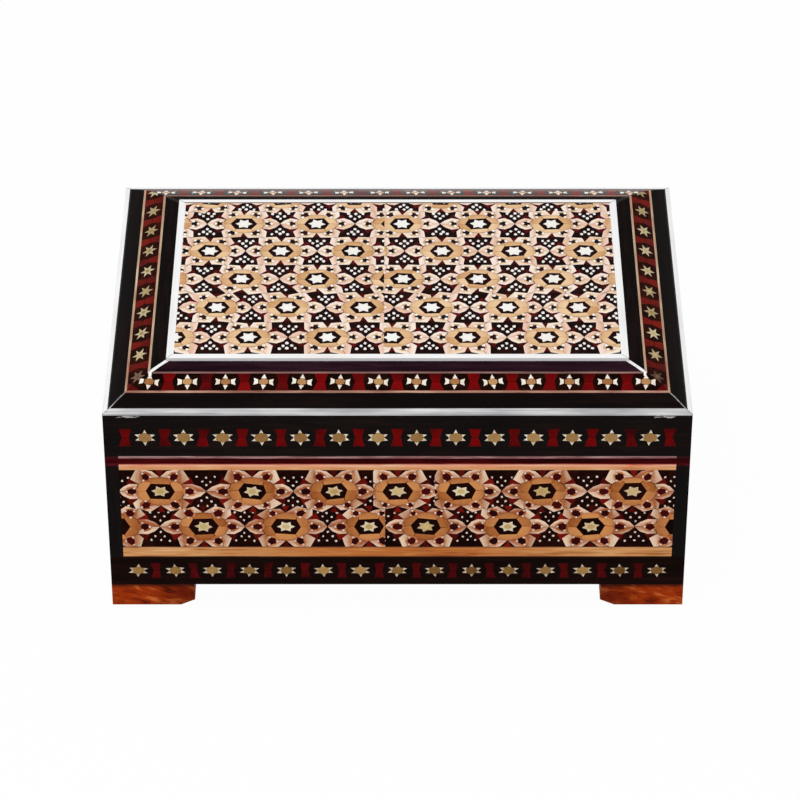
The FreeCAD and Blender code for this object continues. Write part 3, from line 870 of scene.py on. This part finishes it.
def layBlock(inlay, centre, look):  # two halves that meet at the waist, the lower one often brighter
    width, waist, height = look["block"]
    middle = dice.uniform(*blockLook["tone"])
    for sign in (-1, 1):
        slide = wander(blockLook["slide"])
        outline = ((slide - width, sign * height), (slide + width, sign * height), (waist, 0), (-waist, 0))
        tone = middle + sign * dice.uniform(*blockLook["halfTone"])
        shades = [dice.uniform(*blockLook["endShade"]) for corner in outline[:2]]
        shades += [blockLook["waistShade"] for corner in outline[2:]]
        cutChip(inlay, [centre + Vector(point) for point in outline], look["blockWood"], 1, tone, shades)


def spread(first, pitch, half):  # from the first place to its mirror image, or as far as a shorter side goes
    count = round(2 * -first / pitch)
    if half < -first:
        count = int(2 * half / pitch)
        first = -count * pitch / 2
    return [first + (-2 * first / count) * k for k in range(count + 1)]


for name, body, look in (("lid", "lid", lidStars), ("plinth", "base", plinthStars)):
    for side in sideTurns:
        half = runOf(side) / mm - look["endRoom"]
        inlay = startInlay()
        stars = spread(look["first"], look["pitch"], half)
        for u in stars:
            layStar(inlay, Vector((u, look["level"])), look)
        blocks = [(a + b) / 2 for a, b in zip(stars, stars[1:])]
        if look["endBlocks"]:
            blocks += [stars[0] - look["pitch"] / 2, stars[-1] + look["pitch"] / 2]
        for u in blocks:
            layBlock(inlay, Vector((u, look["level"])), look)
        pressOn(inlay, name + "_star_inlay_" + side, body, onSide(side))
print("star rows laid")

# The mouldings' arc, from the white edge strip up to the raised panel
arc = {"start": 2.2, "bow": 1.25, "band": (8.1, 14.9)}
arcLow = Vector((arc["start"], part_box("lid_edge_strip")[1].z / mm))
arcHigh = Vector(((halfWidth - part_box("lid_centre_board")[1].x) / mm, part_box("lid_centre_board")[1].z / mm))
chord = arcHigh - arcLow
arcRadius = (chord.length ** 2 / 4 + arc["bow"] ** 2) / (2 * arc["bow"])
arcMiddle = (arcLow + arcHigh) / 2 + Vector((chord.y, -chord.x)).normalized() * (arcRadius - arc["bow"])
bandAngles = [math.asin((inset - arcMiddle.x) / arcRadius) for inset in arc["band"]]
bandAngle = sum(bandAngles) / 2
bandHalf = arcRadius * (bandAngles[1] - bandAngles[0]) / 2
bandInset = arcMiddle.x + arcRadius * math.sin(bandAngle)

endWoods = {"centreWood": "starKhaki", "tipWood": "starGold", "blockWood": "blockOrange"}
mouldingStars = {
    "front": {"centreWood": "starOrange", "tipWood": "wingCream", "blockWood": "blockRed"},
    "right": endWoods,
    "back": {"centreWood": "rearOrangeWithReflection", "tipWood": "rearBone", "blockWood": "rearRedWithReflection"},
    "left": endWoods,
}
mouldingStar = {
    "hexagon": (1.85, 1.5), "wing": (1.85, 3.45, 0.85, 1.45, 0.3), "tip": (1.35, 3.3, 0.9),
    "sideStar": (3.7, 2.8), "sideWaist": 0.43, "sideHeart": (0.95, 0.8), "corner": (4.4, 2.0),
    "block": (2.45, 1.42, bandHalf), "wedgeTone": 0.3, "tailPlace": 84.3, "tail": (0.45, 0.5, 0.9),
    "lean": 0.13, "sideLean": 0.12, "sideSpin": 30, "bends": (-0.6, -0.3, 0, 0.3, 0.6),
    "first": -84.5, "pitch": 13.0, "sidePitch": 12.85, "sideFirst": 46.6, "sideCount": 9,
}


def ontoArc(point):  # along the band, across it and out of it, bent on to the moulding
    angle = bandAngle + point.y / arcRadius
    radius = arcRadius + point.z
    return Vector((point.x, arcMiddle.y + radius * math.cos(angle), -arcMiddle.x - radius * math.sin(angle)))


for side, woods in mouldingStars.items():
    look = {**mouldingStar, **woods}
    inlay = startInlay()
    half = runOf(side) / mm - bandInset
    if side in ("front", "back"):
        stars = spread(look["first"], look["pitch"], half)
    else:
        hand = 1 if side == "right" else -1
        stars = [hand * (look["sideFirst"] - k * look["sidePitch"]) for k in range(-1, look["sideCount"])]
    for u in stars:
        if side in ("front", "back"):
            layWingedStar(inlay, Vector((u, 0)), look)
        else:  # six-point stars in one piece on the side bands, the one on the front mitre duller
            lean = wander(look["sideLean"])
            spin = math.radians(look["sideSpin"]) + lean
            wood, heart = ("starDim", "starDim") if u == stars[-1] else (look["tipWood"], look["centreWood"])
            starChip(inlay, (u, 0), look["sideStar"], look["sideWaist"], wood, 1, spin)
            regularChip(inlay, (u, 0), look["sideHeart"], 6, heart, 2, lean)
    for u in [(a + b) / 2 for a, b in zip(stars, stars[1:])]:
        layBlock(inlay, Vector((u, 0)), look)
    length, width = look["corner"]
    for sign in (-1, 1):  # a red wedge fills the outer corner, and the band ends on the mitre
        end = half + bandHalf * math.cos(bandAngle)
        wedge = ((end, -bandHalf), (end - length, -bandHalf), (end - width, width - bandHalf))
        cutChip(inlay, [(sign * u, v) for u, v in wedge], look["blockWood"], 1, look["wedgeTone"])
        trim(inlay, inlay["bm"].faces, (sign * half, 0), (sign, math.cos(bandAngle)))
        if side == "front":  # the white of the hip string comes down to the tip of the last star
            lower, upper, lap = look["tail"]
            foot, head = look["tip"][1] - lap, bandHalf + lap
            tail = ((-lower, foot), (lower, foot), (upper, head), (-upper, head))
            cutChip(inlay, [(sign * look["tailPlace"] + u, v) for u, v in tail], "bone", 2)
    for share in look["bends"]:  # cuts along the band, so that the chips can follow the arc
        every = inlay["bm"].verts[:] + inlay["bm"].edges[:] + inlay["bm"].faces[:]
        bmesh.ops.bisect_plane(inlay["bm"], geom=every, plane_co=(0, share * bandHalf, 0), plane_no=(0, 1, 0))
    pressOn(inlay, "moulding_star_inlay_" + side, "lid", onSide(side), ontoArc)
print("moulding bands laid")

# Scuffs below the front edge strip, where the white shows through the lacquer
scuffLook = {
    "ends": ((-95.6, -88.0), (86.0, 93.0)), "levels": (81.2, 82.1), "count": 9,
    "length": (0.8, 4.2), "slope": (-0.05, 0.3), "bend": 0.6, "width": 0.22, "tail": 0.1,
}
inlay = startInlay()
for left, right in scuffLook["ends"]:
    for k in range(scuffLook["count"]):
        u = dice.uniform(left, right)
        v = dice.uniform(*scuffLook["levels"])
        length = dice.uniform(*scuffLook["length"])
        slope = dice.uniform(*scuffLook["slope"])
        bend = (u + length * scuffLook["bend"], v + slope)
        tip = (u + length, v + slope + scuffLook["width"])
        outline = ((u, v), bend, tip, (u, v + scuffLook["tail"]))
        cutChip(inlay, outline, "bone", 1)
pressOn(inlay, "edge_scuffs", "lid", onSide("front"))
print("scuffs laid")

# Velvet lining: thin pads with a crowned face, pulled in at the edges
padLook = {
    "cell": 3.0, "fewest": 4, "edge": 0.3, "roll": 2.5,
    "ripple": 0.05, "waves": (0.31, 0.17, 0.23), "sway": 1.3,
}


def softPad(bm, length, width, thick, place):
    columns, rows = [max(padLook["fewest"], round(size / padLook["cell"])) for size in (length, width)]
    grid = bmesh.ops.create_grid(bm, x_segments=columns, y_segments=rows, size=0.5)["verts"]
    bmesh.ops.scale(bm, vec=(length, width, 1), verts=grid)
    along, swaying, across = padLook["waves"]
    for vert in grid:
        inside = min(length / 2 - abs(vert.co.x), width / 2 - abs(vert.co.y))
        rise = 1 - (1 - min(inside / padLook["roll"], 1)) ** 2
        swayed = vert.co.x * along + padLook["sway"] * math.sin(vert.co.y * swaying)
        wave = math.sin(swayed) * math.sin(vert.co.y * across)
        vert.co.z = thick * (padLook["edge"] + (1 - padLook["edge"]) * rise) + padLook["ripple"] * wave * rise
    rim = [edge for edge in dict.fromkeys(e for v in grid for e in v.link_edges) if edge.is_boundary]
    skirt = bmesh.ops.extrude_edge_only(bm, edges=rim)["geom"]
    foot = [part for part in skirt if isinstance(part, bmesh.types.BMVert)]
    for vert in foot:
        vert.co.z = 0
    bmesh.ops.holes_fill(bm, edges=[e for e in skirt if isinstance(e, bmesh.types.BMEdge)], sides=0)
    bmesh.ops.transform(bm, matrix=place, verts=grid + foot)


def padPiece(name, body, node, pads):
    bm = bmesh.new()
    for pad in pads:
        softPad(bm, *pad)
    bmesh.ops.recalc_face_normals(bm, faces=bm.faces)
    for face in bm.faces:
        face.smooth = True
    piece = addPiece(name, bm, [velvet])
    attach(piece, body)
    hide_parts(node)


def flatPad(node, facing):  # one pad in the place of a flat lining, with its face up or down
    low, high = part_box(node)
    turn = Matrix.Rotation(0 if facing > 0 else math.pi, 4, "X")
    place = Matrix.Translation((0, 0, low.z if facing > 0 else high.z)) @ turn @ Matrix.Scale(mm, 4)
    return ((high.x - low.x) / mm, (high.y - low.y) / mm, (high.z - low.z) / mm, place)


def wallPads(node):  # four pads that butt at the corners, with their faces inwards
    low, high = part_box(node)
    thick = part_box("base_floor_lining")[1].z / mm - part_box("base_floor_lining")[0].z / mm
    pads = []
    for side in sideTurns:
        size = high.x - low.x if side in ("front", "back") else high.y - low.y - 2 * thick * mm
        out = high.y if side in ("front", "back") else high.x
        turn = Matrix.Rotation(math.radians(sideTurns[side]), 4, "Z")
        stand = Matrix.Rotation(math.radians(-90), 4, "X")
        place = turn @ Matrix.Translation((0, -out, (low.z + high.z) / 2)) @ stand @ Matrix.Scale(mm, 4)
        pads.append((size / mm, (high.z - low.z) / mm, thick, place))
    return pads


padPiece("floor_velvet", "base", "base_floor_lining", [flatPad("base_floor_lining", 1)])
padPiece("wall_velvet", "base", "base_wall_lining", wallPads("base_wall_lining"))
padPiece("lid_ceiling_velvet", "lid", "lid_ceiling_lining", [flatPad("lid_ceiling_lining", -1)])
padPiece("lid_wall_velvet", "lid", "lid_wall_lining", wallPads("lid_wall_lining"))
print("velvet laid in")

# Stage: a white floor that keeps a faint shadow, soft light from above, and the camera of the photograph
stageLook = {
    "floorSize": 4.0, "floorWhite": 0.9, "glow": 0.97, "sky": 0.52,
    "keyPower": 13.0, "keySize": 1.4, "keyPlace": (-0.25, -0.45, 1.5),
    "sensor": 36, "lens": 172.738, "clip": (0.1, 10),
    "cameraPlace": (0.00087, -1.11831, 0.85141), "cameraTilt": 53.953,
}
pureWhite = (1, 1, 1, 1)


def seenRays(tree):  # 1 for rays that show the background, 0 for rays that light the box
    rays = addNode(tree, "ShaderNodeLightPath", {}).outputs
    seen = calculate(tree, "MAXIMUM", rays["Is Camera Ray"], rays["Is Glossy Ray"])
    return calculate(tree, "MAXIMUM", seen, rays["Is Transmission Ray"])


def whiteFloor():
    bm = bmesh.new()
    bmesh.ops.create_grid(bm, x_segments=1, y_segments=1, size=stageLook["floorSize"])
    material = bpy.data.materials.new("floorWhite")
    material.use_nodes = True
    tree = material.node_tree
    tree.nodes.clear()
    white = (stageLook["floorWhite"],) * 3 + (1,)
    matt = addNode(tree, "ShaderNodeBsdfDiffuse", {"Color": white}).outputs[0]
    glow = addNode(tree, "ShaderNodeEmission", {"Color": pureWhite, "Strength": 1.0}).outputs[0]
    share = calculate(tree, "MULTIPLY", seenRays(tree), stageLook["glow"])
    mixed = addNode(tree, "ShaderNodeMixShader", {0: share, 1: matt, 2: glow}).outputs[0]
    addNode(tree, "ShaderNodeOutputMaterial", {"Surface": mixed})
    addPiece("floor", bm, [material])


def whiteSky():
    world = bpy.data.worlds.new("sky")
    world.use_nodes = True
    tree = world.node_tree
    tree.nodes.clear()
    lit = addNode(tree, "ShaderNodeBackground", {"Color": pureWhite, "Strength": stageLook["sky"]}).outputs[0]
    shown = addNode(tree, "ShaderNodeBackground", {"Color": pureWhite, "Strength": 1.0}).outputs[0]
    mixed = addNode(tree, "ShaderNodeMixShader", {0: seenRays(tree), 1: lit, 2: shown}).outputs[0]
    addNode(tree, "ShaderNodeOutputWorld", {"Surface": mixed})
    scene.world = world


def keyLight():
    data = bpy.data.lights.new("softbox", "AREA")
    data.energy = stageLook["keyPower"]
    data.size = stageLook["keySize"]
    lamp = bpy.data.objects.new("softbox", data)
    lamp.location = stageLook["keyPlace"]
    lamp.rotation_euler = (-Vector(stageLook["keyPlace"])).to_track_quat("-Z", "Y").to_euler()
    scene.collection.objects.link(lamp)


def photoCamera():
    data = bpy.data.cameras.new("camera")
    data.sensor_width = stageLook["sensor"]
    data.lens = stageLook["lens"]
    data.clip_start, data.clip_end = stageLook["clip"]
    camera = bpy.data.objects.new("camera", data)
    camera.location = stageLook["cameraPlace"]
    camera.rotation_euler = (math.radians(stageLook["cameraTilt"]), 0, 0)
    scene.collection.objects.link(camera)
    scene.camera = camera


whiteFloor()
whiteSky()
keyLight()
photoCamera()
scene.view_settings.view_transform = "Standard"
print("stage set")
